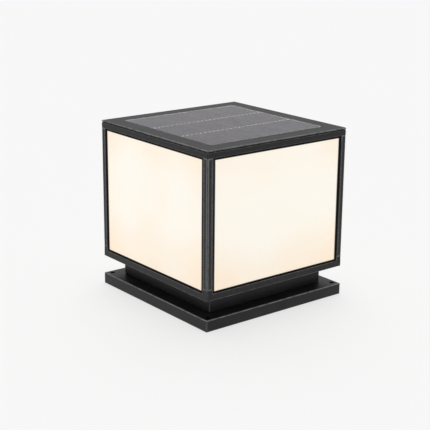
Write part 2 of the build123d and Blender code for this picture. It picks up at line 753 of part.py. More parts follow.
def housing_back():
    """Back plate of the light engine: an ear at each stud, and pins staked over under the board."""
    face = RectangleRounded(ENGINE_X, ENGINE_Y, ENGINE_R)
    for x, y in stud_places():
        face += Pos(x, y) * Circle(EAR_R)
        face += Pos(x - math.copysign(EAR_R, x), y) * Rectangle(2 * EAR_R, 2 * EAR_R)
    low = ENGINE_TOP - BACK_T
    back = Pos(0, 0, low) * extrude(face, BACK_T)
    back -= disc(GROMMET_R + GROMMET_LIP + BLIND, low, ENGINE_TOP)
    for place in stud_places():
        back -= disc(STUD_R + STUD_CLEAR, low, ENGINE_TOP, place)
    for place in board_holes():
        back += disc(STANDOFF_R, BOARD_TOP, low, place)
        back += disc(PIN_R, BOARD_UNDER, BOARD_TOP, place)
        back += disc(PIN_HEAD_R, BOARD_UNDER - PIN_HEAD_H, BOARD_UNDER, place)
    for place in boss_places():
        back -= disc(HOUSING_SCREW_R + THREAD_GAP, low, ENGINE_TOP - BLIND, place)
    return back


def housing_body():
    """Lower shell of the light engine: rounded box, open upwards, with screw bosses."""
    face = RectangleRounded(ENGINE_X, ENGINE_Y, ENGINE_R)
    shell = Pos(0, 0, ENGINE_FLOOR) * extrude(face, RIM_JOINT - ENGINE_FLOOR)
    shell = fillet(shell.edges().group_by(Axis.Z)[0], ENGINE_EDGE_R)
    inner = RectangleRounded(ENGINE_X - 2 * ENGINE_WALL, ENGINE_Y - 2 * ENGINE_WALL, ENGINE_R - ENGINE_WALL)
    shell -= Pos(0, 0, FLOOR_IN) * extrude(inner, RIM_JOINT - FLOOR_IN)
    for place in boss_places():
        shell += disc(BOSS_R, FLOOR_IN, RIM_JOINT, place)
    for place in boss_places():
        shell -= disc(HOUSING_SCREW_R + STUD_CLEAR, ENGINE_FLOOR, RIM_JOINT, place)
        shell -= disc(HOUSING_HEAD_R + STUD_CLEAR, ENGINE_FLOOR, ENGINE_FLOOR + HOUSING_SINK, place)
    shell -= disc(BUSH_R + BUSH_GAP, ENGINE_FLOOR, FLOOR_IN, SWITCH_AT)
    for y, pad in led_lead_ends():
        shell -= disc(LEAD_R + STUD_CLEAR, ENGINE_FLOOR, FLOOR_IN, (0, y))
    for place in dome_screws():
        shell -= disc(DOME_SCREW_R + THREAD_GAP, ENGINE_FLOOR, FLOOR_IN, place)
    return shell


def housing_seal():
    """Flat silicone seal between the light engine's two shells."""
    off = SEAL_BACK_OFF
    outer = RectangleRounded(ENGINE_X - 2 * off, ENGINE_Y - 2 * off, ENGINE_R - off)
    inner = RectangleRounded(ENGINE_X - 2 * ENGINE_WALL, ENGINE_Y - 2 * ENGINE_WALL, ENGINE_R - ENGINE_WALL)
    return Pos(0, 0, RIM_JOINT) * extrude(outer - inner, SEAL_T)


def housing_screws():
    """Long screws up through the bosses into the back plate."""
    screws = []
    seat = ENGINE_FLOOR + HOUSING_SINK
    for place in boss_places():
        bar = disc(HOUSING_SCREW_R, seat, ENGINE_TOP - BLIND - FIT, place)
        screws.append(bar + disc(HOUSING_HEAD_R, seat - HOUSING_HEAD_H, seat, place))
    return group(screws)


def battery():
    """Four cylindrical cells side by side in a scalloped cradle, joined by tabs."""
    cells = []
    centres = [CELLS_X0 + i * CELL_PITCH for i in range(CELL_COUNT)]
    for x in centres:
        bar = Pos(x, 0, CELL_AXIS_Z) * Rot(90, 0, 0) * Cylinder(CELL_R, CELL_LEN)
        cells.append(chamfer(bar.edges(), CELL_EDGE))
    middle = (centres[0] + centres[-1]) / 2
    length = CELL_LEN - 2 * CRADLE_SHORT
    cradle = plate(CELL_COUNT * CELL_PITCH, length, FLOOR_IN, FLOOR_IN + CRADLE_H, (middle, 0))
    for x in centres:
        cradle -= Pos(x, 0, CELL_AXIS_Z) * Rot(90, 0, 0) * Cylinder(CELL_R + CRADLE_GAP, CELL_LEN)
    tabs = []
    for side in (-1, 1):
        strip = Box((CELL_COUNT - 1) * CELL_PITCH + 2 * TAB_PAST, TAB_T, TAB_W)
        tabs.append(Pos(middle, side * (CELL_LEN + TAB_T) / 2, CELL_AXIS_Z) * strip)
    return {"battery_cells": group(cells), "battery_cradle": cradle, "cell_tabs": group(tabs)}


def board_holes():
    """The controller board's four fixing points."""
    x = BOARD_X / 2 - PIN_INSET
    y = BOARD_Y / 2 - PIN_INSET
    return [(BOARD_CENTRE_X + sx * x, sy * y) for sx in (-1, 1) for sy in (-1, 1)]


def controller():
    """Charge controller board under the back plate, with its larger components."""
    board = plate(BOARD_X, BOARD_Y, BOARD_UNDER, BOARD_TOP, (BOARD_CENTRE_X, 0))
    board = fillet(board.edges().filter_by(Axis.Z), BOARD_R)
    for place in board_holes():
        board -= disc(PIN_R, BOARD_UNDER, BOARD_TOP, place)
    parts = []
    for radius, deep, x, y in ROUND_PARTS:
        parts.append(disc(radius, BOARD_UNDER - deep, BOARD_UNDER, (BOARD_CENTRE_X + x, y)))
    for length, width, deep, x, y in FLAT_PARTS:
        parts.append(plate(length, width, BOARD_UNDER - deep, BOARD_UNDER, (BOARD_CENTRE_X + x, y)))
    return {"controller_board": board, "board_parts": group(parts)}


def dome_screws():
    """Three screws round the LED cover's flange."""
    r = (LED_WALL_R + DOME_R) / 2
    return [(r * math.cos(math.radians(a)), r * math.sin(math.radians(a))) for a in DOME_SCREW_TURNS]


def led_unit():
    """LED board on the light engine's floor, its LEDs in two rings, under an opal cover."""
    top = ENGINE_FLOOR
    board = disc(LED_R, top - LED_BOARD_T, top)
    face = top - LED_BOARD_T
    chips = []
    for radius, count in CHIP_RINGS:
        for i in range(count):
            chip = plate(CHIP_X, CHIP_Y, face - CHIP_T, face)
            chips.append(Rot(0, 0, 360 * i / count) * Pos(radius, 0, 0) * chip)
    wall_r = LED_WALL_R
    inner_r = wall_r - DOME_T
    deep = top - DOME_DEEP
    flange = top - DOME_T
    outer = outline([(0, deep), (wall_r, deep), (wall_r, flange), (DOME_R, flange), (DOME_R, top), (0, top)])
    outer = fillet(at_points(outer, [(wall_r, deep)]), DOME_EDGE_R)
    inner = outline([(0, deep + DOME_T), (inner_r, deep + DOME_T), (inner_r, top), (0, top)])
    inner = fillet(at_points(inner, [(inner_r, deep + DOME_T)]), DOME_EDGE_R - DOME_T)
    cover = revolve(Plane.XZ * (outer - inner), Axis.Z)
    screws = []
    for place in dome_screws():
        cover -= disc(DOME_HOLE_R, flange, top, place)
        shank = disc(DOME_SCREW_R, flange, FLOOR_IN, place)
        screws.append(shank + disc(DOME_HEAD_R, flange - DOME_HEAD_H, flange, place))
    return {
        "led_board": board,
        "led_chips": group(chips),
        "led_cover": cover,
        "led_cover_screws": group(screws),
    }


def push_switch():
    """Sealed push switch in the light engine's floor; its collared button is pressed upwards."""
    bezel = ENGINE_FLOOR - WASHER_T
    mouth = bezel - BEZEL_T
    cap_high = FLOOR_IN + BUTTON_TOP
    step = cap_high - COLLAR_H
    bush_top = FLOOR_IN + BUSH_OVER
    body = disc(BUSH_R, mouth, bush_top, SWITCH_AT)
    body += disc(BEZEL_R, mouth, bezel, SWITCH_AT)
    body += disc(SWITCH_R, bush_top, FLOOR_IN + SWITCH_TOP, SWITCH_AT)
    body -= disc(BUTTON_R + BUTTON_GAP, mouth, cap_high, SWITCH_AT)
    body -= disc(COLLAR_R + BUTTON_GAP, step, cap_high + BUTTON_TRAVEL + BUTTON_SPACE, SWITCH_AT)
    nut_top = FLOOR_IN + SWITCH_NUT_T
    nut = hexagon(SWITCH_NUT_ACROSS, FLOOR_IN, nut_top, SWITCH_AT)
    nut -= disc(BUSH_R + THREAD_GAP, FLOOR_IN, nut_top, SWITCH_AT)
    washer = disc(WASHER_R, bezel, ENGINE_FLOOR, SWITCH_AT)
    washer -= disc(BUSH_R + BUSH_GAP, bezel, ENGINE_FLOOR, SWITCH_AT)
    cap = disc(BUTTON_R, mouth - BUTTON_OUT, cap_high, SWITCH_AT)
    cap = fillet(cap.edges().sort_by(Axis.Z)[0], BUTTON_EDGE_R)
    cap += disc(COLLAR_R, step, cap_high, SWITCH_AT)
    return {"switch_body": body, "switch_nut": nut, "switch_washer": washer, "switch_button": cap}


def lead(points, bend):
    """A thin wire along straight runs joined by bends."""
    if len(points) > 2:
        path = FilletPolyline(*points, radius=bend)
    else:
        path = Line(*points)
    return sweep(Plane(origin=path @ 0, z_dir=path % 0) * Circle(LEAD_R), path)


def led_lead_ends():
    """Each LED lead's row beside the cells, and its pad under the board."""
    first = BATTERY_LEAD_Y + LED_LEAD_OUT
    near = (BOARD_PADS_X - LED_LEAD_STEP, -LED_PAD_Y)
    far = (BOARD_PADS_X, LED_PAD_Y)
    return [(-first, near), (-first - LED_LEAD_STEP, far)]


def leads():
    """Wires: solar panel to board, then battery, LEDs and switch to board."""
    run = ENGINE_TOP - BACK_T - LEAD_R - LEAD_OFF
    pad = BOARD_PADS_X
    panel = []
    inner = []
    for side in (-1, 1):
        y = side * LEAD_PAIR / 2
        panel.append(lead([(0, y, RECESS_Z), (0, y, run), (pad, y, run), (pad, y, BOARD_TOP)], PANEL_BEND))
        x = CELLS_X0 + (CELL_COUNT - 1) * CELL_PITCH + LEAD_ON_TAB
        y = side * (CELL_LEN / 2 + TAB_T)
        out = side * BATTERY_LEAD_Y
        route = [(x, y, CELL_AXIS_Z), (x, out, CELL_AXIS_Z), (pad, out, CELL_AXIS_Z), (pad, out, BOARD_UNDER)]
        inner.append(lead(route, BATTERY_BEND))
        x = SWITCH_AT[0] + side * SWITCH_TAG
        inner.append(lead([(x, SWITCH_Y, FLOOR_IN + SWITCH_TOP), (x, SWITCH_Y, BOARD_UNDER)], 0))
    level = ENGINE_FLOOR + LED_LEAD_RISE
    for row, (x, y) in led_lead_ends():
        route = [(0, row, ENGINE_FLOOR), (0, row, level), (x, row, level), (x, y, level), (x, y, BOARD_UNDER)]
        inner.append(lead(route, LED_BEND))
    return {"panel_leads": group(panel), "inner_leads": group(inner)}


def all_nodes():
    """Every named piece of the lantern."""
    nodes = {"base_tray": base_tray(), "neck": neck(), "floor_plate": floor_plate()}
    nodes.update(neck_fasteners())
    nodes.update(bottom_rails())
    nodes.update(corner_posts())
    nodes.update(top_rails())
    nodes["bottom_corner_keys"] = corner_keys(BODY_Z + RAIL_BASE_T, CHAMBER_TOP)
    nodes["top_corner_keys"] = corner_keys(TOP_GROOVE + WEB, FRAME_TOP - CHAMBER_ROOF)
    nodes.update(post_screws())
    nodes.update(diffusers())
    nodes.update(glazing_seals())
    nodes["lid_cover"] = lid_cover()
    nodes["lid_gasket"] = lid_gasket()
    nodes.update(lid_tongues())
    nodes["solar_glass"] = solar_glass()
    nodes["solar_cells"] = solar_cells()
    nodes["cell_links"] = cell_links()
    nodes["solar_backsheet"] = plate(GLASS, GLASS, RECESS_Z, RECESS_Z + SHEET_T)
    nodes["solar_sealant"] = solar_sealant()
    nodes["lead_grommet"] = lead_grommet()
    nodes.update(lid_studs())
    nodes["housing_back"] = housing_back()
    nodes["housing_body"] = housing_body()
    nodes["housing_seal"] = housing_seal()
    nodes["housing_screws"] = housing_screws()
    nodes.update(battery())
    nodes.update(controller())
    nodes.update(led_unit())
    nodes.update(push_switch())
    nodes.update(leads())
    return nodes


os.makedirs("parts", exist_ok=True)
for name, shape in all_nodes().items():
    export_step(shape, "parts/" + name + ".step")
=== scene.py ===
import math

import bmesh
import bpy
from mathutils import Matrix, Vector


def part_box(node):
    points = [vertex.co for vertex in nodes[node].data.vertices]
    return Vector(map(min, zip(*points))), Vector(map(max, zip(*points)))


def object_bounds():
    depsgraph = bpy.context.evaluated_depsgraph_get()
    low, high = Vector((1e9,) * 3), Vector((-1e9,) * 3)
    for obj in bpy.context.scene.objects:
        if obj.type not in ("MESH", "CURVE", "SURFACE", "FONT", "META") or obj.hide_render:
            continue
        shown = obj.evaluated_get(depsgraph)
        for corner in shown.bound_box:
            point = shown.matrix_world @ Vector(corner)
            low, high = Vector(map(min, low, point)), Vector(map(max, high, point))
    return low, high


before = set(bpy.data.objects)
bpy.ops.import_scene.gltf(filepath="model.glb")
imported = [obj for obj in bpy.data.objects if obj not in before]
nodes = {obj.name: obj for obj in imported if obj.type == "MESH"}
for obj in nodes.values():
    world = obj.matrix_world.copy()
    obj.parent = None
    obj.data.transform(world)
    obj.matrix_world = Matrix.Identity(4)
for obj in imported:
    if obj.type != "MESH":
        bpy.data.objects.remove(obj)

lantern_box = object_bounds()

MM = 0.001
SIDES = ("front", "right", "back", "left")

# The black coat: thick, thin, rubbed on an edge and lightened there as a painted highlight, and the dust
# that lies on it
BLACK = (0.0035, 0.0035, 0.0042)
BLACK_LIGHT = (0.0155, 0.0155, 0.0165)
# the coat rubbed thin on an edge, made lighter still as a painted highlight
RUBBED_AND_HIGHLIGHT = (0.200, 0.200, 0.205)
DUST = (0.105, 0.090, 0.074)
TRAY_SKIN = 195 * MM            # the tray's folded sides lie further out than this
POST_ARRIS = 186 * MM           # a post's outer corner lies further out than this on both axes
SHELTER = 4 * MM                # a groove narrower than this keeps its edges from rubbing and from the painted highlight
FADE = 2 * MM                   # half the width over which a mask fades at a limit

# The panels' glow, from their middle to their sill
GLOW_WHITE = (0.578, 0.550, 0.488)
GLOW_PEACH = (0.590, 0.440, 0.292)
LEFT_WARMTH = 0.16              # how much further the left panel's glow goes towards peach
PANEL_HIDDEN = 7.5 * MM         # what a panel has behind its seal and in its groove, on each edge

# The cells' silver fingers
FINGER_PITCH = 1.9 * MM

# The studio: metres, degrees, and greys for the paper, the air and what gloss and glass reflect
CAMERA_AT = (-1.564, -1.933, 0.910)
CAMERA_YAW = 38.62
CAMERA_DIP = 16.34
CAMERA_ROLL = 0.49
LENS_MM = 92.39
SENSOR_MM = 36.0
PAPER_HALF = 45.0
PAPER_DROP = 0.2 * MM           # keeps the paper off the tray's underside
PAPER = 0.93
PAPER_GLOW = 0.95
# painted shade: the paper's grey under the tray
UNDER_TRAY_SHADE = 0.05
LAMP_POWER = 1.2
LAMP_SPREAD = 56.0
LAMP_TOWARDS = (-0.30, -0.42, -0.857)
AIR = 0.64
WALLS = ((0.0, PAPER), (0.06, 0.80), (0.16, 0.53), (0.5, 0.46), (0.75, 0.85), (1.0, 0.95))


class Wire:
    """A socket, so that a mask or a height is written as a plain sum."""

    def __init__(self, recipe, socket):
        self.recipe = recipe
        self.socket = socket

    def other(self, name):
        """Another output of the same node."""
        return Wire(self.recipe, self.socket.node.outputs[name])

    def __add__(self, right):
        return self.recipe.maths("ADD", self, right)

    def __sub__(self, right):
        return self.recipe.maths("SUBTRACT", self, right)

    def __rsub__(self, left):
        return self.recipe.maths("SUBTRACT", left, self)

    def __mul__(self, right):
        return self.recipe.maths("MULTIPLY", self, right)

    def __truediv__(self, right):
        return self.recipe.maths("DIVIDE", self, right)

    def __abs__(self):
        return self.recipe.maths("ABSOLUTE", self)

    __radd__ = __add__
    __rmul__ = __mul__


class Recipe:
    """The nodes of one finish, or of the air round the lantern."""

    def __init__(self, owner):
        self.owner = owner
        self.tree = owner.node_tree
        self.tree.nodes.clear()

    def node(self, kind, settings=None, sockets=None, out=0):
        """A node: its settings first, then what goes into its sockets. Gives one of its outputs."""
        made = self.tree.nodes.new("ShaderNode" + kind)
        for name, value in (settings or {}).items():
            if name == "stops":
                self.set_stops(made.color_ramp, value)
            else:
                setattr(made, name, value)
        for name, value in (sockets or {}).items():
            socket = made.inputs[name]
            if isinstance(value, Wire):
                self.tree.links.new(value.socket, socket)
            elif socket.type == "RGBA" and len(value) == 3:
                socket.default_value = (*value, 1.0)
            else:
                socket.default_value = value
        return Wire(self, made.outputs[out]) if len(made.outputs) else None

    def set_stops(self, ramp, stops):
        while len(ramp.elements) < len(stops):
            ramp.elements.new(1.0)
        for element, (place, colour) in zip(ramp.elements, stops):
            element.position = place
            element.color = (*colour, 1.0)

    def maths(self, how, first, second=0.0):
        return self.node("Math", {"operation": how}, {0: first, 1: second})

    def smaller(self, first, second):
        return self.maths("MINIMUM", first, second)

    def larger(self, first, second):
        return self.maths("MAXIMUM", first, second)

    def tint(self, share, first, second):
        """From the first colour to the second one."""
        return self.node("Mix", {"data_type": "RGBA"}, {0: share, 6: first, 7: second}, out=2)

    def ease(self, value, low, high):
        """0 below low, 1 above high, and smooth between them."""
        sockets = {"Value": value, "From Min": low, "From Max": high}
        return self.node("MapRange", {"interpolation_type": "SMOOTHSTEP"}, sockets)

    def past(self, value, limit):
        """0 short of a limit and 1 past it."""
        return self.ease(value, limit - FADE, limit + FADE)

    def place(self, stretch=(1.0, 1.0, 1.0), shift=(0.0, 0.0, 0.0)):
        """Where a point is on the piece, in metres."""
        at = self.node("TexCoord", out="Object")
        return self.node("Mapping", sockets={"Vector": at, "Scale": stretch, "Location": shift})

    def grain(self, size, detail=2.0, stretch=(1.0, 1.0, 1.0), shift=(0.0, 0.0, 0.0), rough=0.5):
        """Cloudy noise with spots of about this size."""
        at = self.place(stretch, shift)
        sockets = {"Vector": at, "Scale": 1.0 / size, "Detail": detail, "Roughness": rough}
        return self.node("TexNoise", sockets=sockets)

    def rings(self, size, radius, shift=(0.0, 0.0, 0.0)):
        """Thin rings round scattered points, as dried drops leave them."""
        sockets = {"Vector": self.place(shift=shift), "Scale": 1.0 / size, "Randomness": 1.0}
        away = self.node("TexVoronoi", sockets=sockets) * size
        rim = 1.0 - self.ease(abs(away - radius), 0.1 * MM, 0.6 * MM)
        return rim * self.ease(self.grain(50 * MM, 2.0, shift=shift), 0.48, 0.62)

    def axis(self, letter):
        """How far a point is along one axis of the lantern."""
        return self.node("SeparateXYZ", sockets={0: self.node("TexCoord", out="Object")}, out=letter)

    def facing(self, letter):
        """How far the surface faces along one axis."""
        normal = self.node("NewGeometry", out="Normal")
        return self.node("SeparateXYZ", sockets={0: normal}, out=letter)

    def rounding(self):
        """1 where the surface turns away from the lantern's flat sides, as on a rolled edge."""
        sideways = self.larger(abs(self.facing("X")), abs(self.facing("Y")))
        flat = self.larger(sideways, abs(self.facing("Z")))
        return self.ease(1.0 - flat, 0.01, 0.10)

    def edges(self, width):
        """1 on a sharp edge and 0 a little way from it."""
        rounded = self.node("Bevel", {"samples": 4}, {"Radius": width})
        normal = self.node("NewGeometry", out="Normal")
        turn = self.node("VectorMath", {"operation": "DOT_PRODUCT"}, {0: rounded, 1: normal}, out="Value")
        return self.ease(1.0 - turn, 0.005, 0.09)

    def open_air(self, reach):
        """1 where the surface lies open and 0 deep in a groove or an inside corner of its own piece."""
        settings = {"samples": 6, "only_local": True}
        openness = self.node("AmbientOcclusion", settings, {"Distance": reach}, out="AO")
        return self.ease(openness, 0.55, 0.85)

    def relief(self, height, deep, strength=1.0):
        """A fine relief, so many metres deep."""
        sockets = {"Height": height, "Distance": deep, "Strength": strength}
        return self.node("Bump", sockets=sockets)

    def surface(self, sockets):
        """The finish, from what goes into its shader."""
        shader = self.node("BsdfPrincipled", sockets=sockets, out="BSDF")
        self.node("OutputMaterial", sockets={"Surface": shader})
        return self.owner


def new_finish(name):
    material = bpy.data.materials.new(name)
    material.use_nodes = True
    return Recipe(material)


def grey(level):
    return (level, level, level)


def rubbed_and_highlit_edges(look, shift, wear_and_highlight, folds, reach, skin, arris):
    """Where the coat is rubbed thin and a highlight is painted: on sharp edges that lie far enough out, and
    on folds.
    """
    patch = look.ease(look.grain(14 * MM, 3.0, shift=shift), 0.35, 0.65)
    round_edge = look.rounding()
    outward = look.larger(abs(look.axis("X")), abs(look.axis("Y")))
    sideways = look.smaller(abs(look.axis("X")), abs(look.axis("Y")))
    # painted highlight and wear: the lighter coat on outer and rolled edges
    edge = look.larger(round_edge, look.edges(reach)) * look.open_air(SHELTER) * wear_and_highlight
    edge = edge * look.past(outward, skin) * look.past(sideways, arris)
    return look.larger(edge, round_edge * folds) * (0.45 + patch * 0.55)


def settled_dust(look, shift, cloud, dusty, splashed):
    """Dust and dried drops on what faces up, runs down the sides, and splashes near the ground."""
    streak = look.grain(12 * MM, 3.0, stretch=(1.0, 1.0, 0.12), shift=shift)
    lying = look.ease(look.facing("Z"), 0.5, 0.95)
    low = 1.0 - look.ease(look.axis("Z"), 2 * MM, 20 * MM)
    dust = lying * (look.ease(cloud, 0.40, 0.75) + look.rings(16 * MM, 3.2 * MM, shift) * 0.8) * dusty
    dust = dust + look.ease(streak, 0.45, 0.75) * 0.40 * dusty
    return dust + low * look.ease(cloud, 0.35, 0.65) * splashed


def powder_coat(
    name, shift, dusty=0.08, splashed=0.0, wear_and_highlight=1.0, folds=0.0, reach=2.2 * MM, skin=0.0, arris=0.0,
    gloss=0.26,
):
    """Semi-gloss black powder coat: orange peel, rubbed edges and folds with a painted highlight, dust where
    it can settle.

    shift gives each piece its own stretch of the patterns. Edges are rubbed and given a painted highlight
    over a width of reach, where they lie further out than skin on one axis and than arris on the other.
    """
    look = new_finish(name)
    peel = look.grain(1.1 * MM, 2.0, shift=shift)
    fine = look.grain(0.3 * MM, 1.0, shift=shift)
    cloud = look.grain(55 * MM, 5.0, shift=shift, rough=0.62)
    dust = settled_dust(look, shift, cloud, dusty, splashed)
    colour = look.tint(cloud, BLACK, BLACK_LIGHT)
    # painted highlight and wear on the edges
    colour = look.tint(rubbed_and_highlit_edges(look, shift, wear_and_highlight, folds, reach, skin, arris), colour, RUBBED_AND_HIGHLIGHT)
    sockets = {
        "Base Color": look.tint(dust, colour, DUST),
        "Roughness": 0.31 + cloud * 0.16 + fine * 0.05 + dust * 0.5,
        "Normal": look.relief(peel + fine * 0.3, 0.04 * MM, 0.5),
        "Specular IOR Level": gloss,
    }
    return look.surface(sockets)


def white_paint():
    """Matt white paint on the floor plate, which throws the light back up."""
    look = new_finish("white_paint")
    cloud = look.grain(70 * MM, 4.0)
    peel = look.grain(1.2 * MM, 2.0)
    soiled = look.ease(cloud, 0.45, 0.8) * 0.5
    sockets = {
        "Base Color": look.tint(soiled, (0.80, 0.80, 0.78), (0.68, 0.67, 0.63)),
        "Roughness": 0.55 + cloud * 0.15,
        "Normal": look.relief(peel, 0.04 * MM, 0.5),
    }
    return look.surface(sockets)


def zinc_plate():
    """Bright zinc on the bolts, nuts, screws, studs and tongues."""
    look = new_finish("zinc_plate")
    cloud = look.grain(6 * MM, 3.0)
    turned = look.grain(0.6 * MM, 2.0, stretch=(0.15, 0.15, 3.0))
    colour = look.tint(cloud, (0.50, 0.50, 0.49), (0.66, 0.67, 0.70))
    sockets = {
        "Base Color": look.tint(look.edges(0.3 * MM) * 0.6, colour, (0.78, 0.78, 0.79)),
        "Metallic": 1.0,
        "Roughness": 0.28 + cloud * 0.16 + turned * 0.06,
        "Normal": look.relief(turned, 0.02 * MM, 0.6),
    }
    return look.surface(sockets)


def drawn_aluminium():
    """Mill-finish aluminium of the corner keys, with its drawing lines."""
    look = new_finish("drawn_aluminium")
    lines = look.grain(0.5 * MM, 3.0, stretch=(0.06, 0.06, 1.0))
    cloud = look.grain(12 * MM, 3.0)
    sockets = {
        "Base Color": look.tint(cloud, (0.66, 0.67, 0.68), (0.76, 0.77, 0.78)),
        "Metallic": 1.0,
        "Roughness": 0.30 + lines * 0.18,
        "Normal": look.relief(lines, 0.02 * MM, 0.7),
    }
    return look.surface(sockets)


def opal_sheet(side, shift, warm):
    """Opal acrylic, lit from inside: whitest in its middle, warmer at the sill, with painted shade and grime
    along its seal.
    """
    look = new_finish("opal_sheet_" + side)
    lowest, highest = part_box("diffuser_front")
    along = look.smaller(abs(look.axis("X")), abs(look.axis("Y")))
    high = look.axis("Z")
    cloud = look.grain(160 * MM, 2.0, shift=shift, rough=0.4)
    satin = look.grain(0.7 * MM, 2.0)
    warmth = (1.0 - look.ease(high, 70 * MM, 240 * MM)) * 0.52 + look.ease(along, 80 * MM, 190 * MM) * 0.22
    warmth = warmth + look.ease(high, 290 * MM, 390 * MM) * 0.30 + (cloud - 0.5) * 0.8 + warm
    glow = look.tint(look.ease(warmth, 0.0, 1.0), GLOW_WHITE, GLOW_PEACH)
    above = look.smaller(high - (lowest[2] + PANEL_HIDDEN), (highest[2] - PANEL_HIDDEN) - high)
    inwards = look.smaller(above, ((highest[0] - PANEL_HIDDEN) - along) * 0.5)
    # painted shade and grime: glow and colour go dark along the seal, as the frame would shade the panel
    shade_and_grime = 1.0 - look.ease(inwards + (cloud - 0.5) * (0.8 * MM), 0.3 * MM, 1.8 * MM)
    sockets = {
        "Base Color": look.tint(shade_and_grime, (0.50, 0.48, 0.44), (0.030, 0.026, 0.022)),
        "Roughness": 0.26 + satin * 0.08 + shade_and_grime * 0.4,
        "Emission Color": look.tint(shade_and_grime, glow, (0.012, 0.009, 0.006)),
        "Emission Strength": 1.0,
        "Normal": look.relief(satin, 0.01 * MM, 0.4),
    }
    return look.surface(sockets)


def opal_dome():
    """The same opal acrylic, moulded and bright over the LEDs."""
    look = new_finish("opal_dome")
    flow = look.grain(20 * MM, 2.0)
    sockets = {
        "Base Color": (0.36, 0.35, 0.32),
        "Roughness": 0.3 + flow * 0.1,
        "Emission Color": look.tint(flow, (0.60, 0.54, 0.44), (0.68, 0.63, 0.53)),
        "Emission Strength": 1.0,
        "Normal": look.relief(flow, 0.04 * MM, 0.3),
    }
    return look.surface(sockets)


def black_rubber():
    """Matt black rubber with a moulding bloom."""
    look = new_finish("black_rubber")
    cloud = look.grain(18 * MM, 3.0)
    pores = look.grain(0.4 * MM, 2.0)
    sockets = {
        "Base Color": look.tint(cloud, grey(0.0025), grey(0.006)),
        "Roughness": 0.62 + cloud * 0.2,
        "Normal": look.relief(pores, 0.05 * MM, 0.6),
        "Specular IOR Level": 0.08,
    }
    return look.surface(sockets)


def solar_glass():
    """Tempered glass with a dusty film and a few dried drops. Plain light goes straight through it."""
    look = new_finish("solar_glass")
    cloud = look.grain(50 * MM, 4.0)
    wave = look.grain(30 * MM, 1.0)
    sockets = {
        "Base Color": (0.96, 0.97, 0.98),
        "Roughness": 0.05 + look.ease(cloud, 0.35, 0.8) * 0.10 + look.rings(20 * MM, 3.5 * MM) * 0.15,
        "Transmission Weight": 1.0,
        "IOR": 1.5,
        "Normal": look.relief(wave, 0.03 * MM, 0.5),
    }
    glass = look.node("BsdfPrincipled", sockets=sockets, out="BSDF")
    clear = look.node("BsdfTransparent", sockets={"Color": (0.95, 0.96, 0.97)}, out="BSDF")
    path = look.node("LightPath", out="Is Shadow Ray")
    lighting = look.smaller(path + path.other("Is Diffuse Ray"), 1.0)
    shader = look.node("MixShader", sockets={0: lighting, 1: glass, 2: clear}, out="Shader")
    look.node("OutputMaterial", sockets={"Surface": shader})
    return look.owner


def solar_cell():
    """Silicon: a mottled crystal grain under thin silver fingers."""
    look = new_finish("solar_cell")
    sockets = {"Vector": look.place(), "Scale": 150.0}
    crystal = look.node("TexVoronoi", {"feature": "F1"}, sockets, out="Color")
    tone = look.node("SeparateXYZ", sockets={0: crystal}, out="X")
    cloud = look.grain(40 * MM, 2.0)
    across = look.maths("PINGPONG", look.axis("X") + 1.0, FINGER_PITCH / 2) / (FINGER_PITCH / 2)
    finger = 1.0 - look.ease(across, 0.06, 0.14)
    colour = look.tint(tone, (0.012, 0.006, 0.014), (0.100, 0.066, 0.104))
    colour = look.tint(look.ease(cloud, 0.3, 0.8) * 0.30, colour, (0.075, 0.048, 0.078))
    sockets = {
        "Base Color": look.tint(finger * 0.55, colour, (0.40, 0.40, 0.42)),
        "Roughness": 0.35 + tone * 0.12,
        "Normal": look.relief(finger, 0.03 * MM, 0.5),
    }
    return look.surface(sockets)


def tinned_ribbon():
    """Bright tinned copper ribbon."""
    look = new_finish("tinned_ribbon")
    cloud = look.grain(2 * MM, 3.0)
    sockets = {
        "Base Color": look.tint(cloud, (0.88, 0.88, 0.87), (0.96, 0.96, 0.96)),
        "Metallic": 0.15,
        "Roughness": 0.42 + cloud * 0.2,
        "Normal": look.relief(cloud, 0.04 * MM, 0.6),
    }
    return look.surface(sockets)


def back_sheet():
    """The dark sheet behind the cells."""
    look = new_finish("back_sheet")
    weave = look.grain(0.8 * MM, 2.0)
    cloud = look.grain(50 * MM, 2.0)
    sockets = {
        "Base Color": look.tint(cloud, (0.055, 0.050, 0.060), (0.080, 0.074, 0.086)),
        "Roughness": 0.5 + weave * 0.2,
        "Normal": look.relief(weave, 0.03 * MM, 0.6),
    }
    return look.surface(sockets)


def moulded_plastic(name, dark, light, rough, texture):
    """Moulded plastic with a fine spark-eroded grain, a little paler on its edges."""
    look = new_finish(name)
    cloud = look.grain(30 * MM, 3.0)
    spark = look.grain(texture, 3.0)
    colour = look.tint(cloud, dark, light)
    edge = [min(1.0, 1.15 * part + 0.02) for part in light]
    sockets = {
        "Base Color": look.tint(look.edges(0.4 * MM) * 0.25, colour, edge),
        "Roughness": rough + cloud * 0.1 + spark * 0.08,
        "Normal": look.relief(spark, 0.05 * MM, 0.5),
    }
    return look.surface(sockets)


def battery_sleeve():
    """Shrink sleeve: glossy, drawn tight, a little puckered at its ends."""
    look = new_finish("battery_sleeve")
    cloud = look.grain(20 * MM, 2.0)
    pucker = look.grain(3 * MM, 2.0, stretch=(1.0, 0.1, 1.0))
    end = look.ease(abs(look.axis("Y")), 26 * MM, 35 * MM)
    sockets = {
        "Base Color": look.tint(cloud, (0.030, 0.115, 0.36), (0.045, 0.15, 0.44)),
        "Roughness": 0.22 + cloud * 0.12,
        "Normal": look.relief(pucker * end, 0.3 * MM, 0.6),
    }
    return look.surface(sockets)


